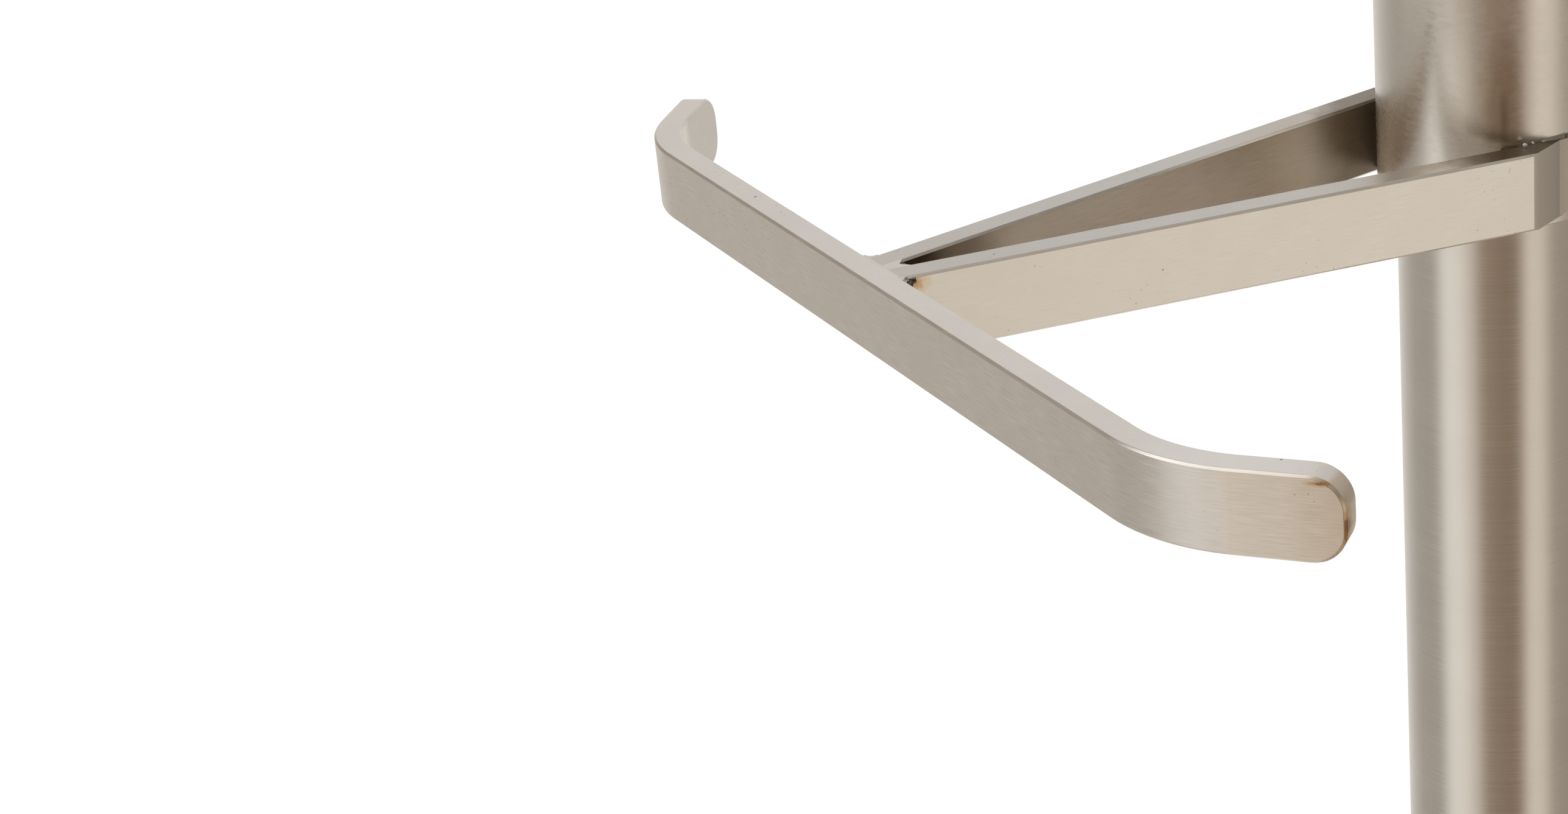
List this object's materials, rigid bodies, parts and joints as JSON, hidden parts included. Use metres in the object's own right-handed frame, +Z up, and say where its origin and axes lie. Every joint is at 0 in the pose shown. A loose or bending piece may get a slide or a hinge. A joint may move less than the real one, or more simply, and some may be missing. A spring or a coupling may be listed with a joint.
{
  "type": "valet stand",
  "caption": "Valet stand: round floor plate, round steel post and a turning head that carries a coat hanger of flat bar with bent-back ends.",
  "frame": {"origin": "on the post's axis, at the underside of the floor pad, where the stand meets the floor", "axes": "+Z up along the post; the hanger reaches forward along -Y and its crossbar lies along X"},
  "size_m": [0.4226, 0.428, 1.129],
  "materials": {
    "brushed_bar": "stainless flat bar, brushed along the bar",
    "brushed_tube": "stainless tube, satin, brushed around the tube",
    "brushed_plate": "stainless plate, turned satin finish",
    "weld": "ground weld with heat tint",
    "machined_steel": "machined steel, unpolished",
    "fastener": "black oxide screw",
    "nylon": "natural nylon",
    "rubber_pad": "matt black rubber sheet"
  },
  "bodies": {
    "stand": {"floor_pad": "rubber_pad", "base_plate": "brushed_plate", "base_screw": "fastener", "foot_plug": "machined_steel", "foot_rosette": "brushed_plate", "post_tube": "brushed_tube", "top_plug": "machined_steel", "thrust_washer": "nylon", "pivot_screw": "fastener", "glide_washer": "nylon", "disc_spring": "machined_steel"},
    "head": {"head_sleeve": "brushed_tube", "head_disc": "machined_steel", "lower_bush": "nylon", "upper_bush": "nylon", "head_cap": "brushed_plate", "crossbar": "brushed_bar", "crossbar_weld": "weld", "right_leg": "brushed_bar", "left_leg": "brushed_bar", "right_leg_weld": "weld", "left_leg_weld": "weld"}
  },
  "joints": [
    {"name": "head_swivel", "type": "hinge", "parent": "stand", "child": "head", "pos_m": [0, 0, 1.05], "axis": [0, 0, 1], "continuous": true}
  ]
}
